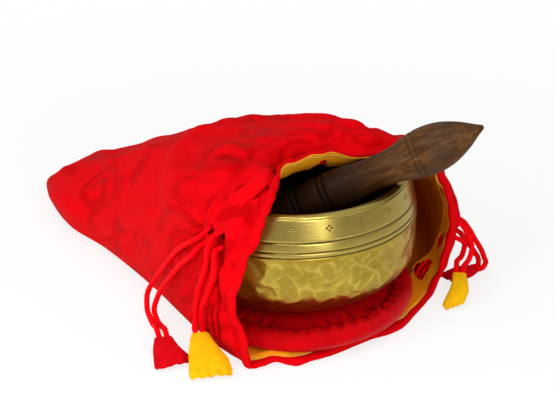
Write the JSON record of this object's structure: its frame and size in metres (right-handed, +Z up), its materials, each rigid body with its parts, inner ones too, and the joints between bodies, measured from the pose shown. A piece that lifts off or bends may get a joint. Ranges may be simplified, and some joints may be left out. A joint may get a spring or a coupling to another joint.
{
  "type": "singing bowl",
  "caption": "Hammered brass singing bowl with a turned wooden mallet, set on a round satin cushion inside a lined brocade drawstring pouch that lies open on its side.",
  "frame": {"origin": "on the floor, directly below the middle of the bowl", "axes": "+X to the right seen from the front, +Y away from the front, +Z up"},
  "size_m": [0.2542, 0.2795, 0.1099],
  "materials": {
    "brass": "hammered and aged, satin turned band at the rim",
    "wood": "turned, oiled dark brown",
    "cushion_satin": "plain red satin",
    "filling": "loose cotton wadding",
    "brocade": "red brocade with a tone-on-tone scroll pattern",
    "lining": "plain yellow-orange satin",
    "cord": "twisted red rayon",
    "tab_red": "stuffed red brocade",
    "tab_yellow": "stuffed yellow brocade"
  },
  "bodies": {
    "pouch": {"pouch_top_panel": "brocade", "pouch_base_panel": "brocade", "lining_top_panel": "lining", "lining_base_panel": "lining", "cushion_cover": "cushion_satin", "cushion_filling": "filling", "drawstring_left_red": "cord", "drawstring_left_yellow": "cord", "drawstring_right_red": "cord", "drawstring_right_yellow": "cord", "left_red_end_a": "cord", "left_red_end_b": "cord", "left_yellow_end_a": "cord", "left_yellow_end_b": "cord", "right_red_end_a": "cord", "right_red_end_b": "cord", "right_yellow_end_a": "cord", "right_yellow_end_b": "cord", "tab_left_red": "tab_red", "tab_left_yellow": "tab_yellow", "tab_right_red": "tab_red", "tab_right_yellow": "tab_yellow"},
    "bowl": {"bowl": "brass"},
    "mallet": {"mallet": "wood"}
  },
  "joints": [
    {"name": "bowl_draw", "type": "slide", "parent": "pouch", "child": "bowl", "axis": [0.63, -0.776, 0.03], "range_m": [0, 0.15]},
    {"name": "mallet_draw", "type": "slide", "parent": "bowl", "child": "mallet", "axis": [0.8704, 0, 0.4924], "range_m": [0, 0.15]}
  ]
}
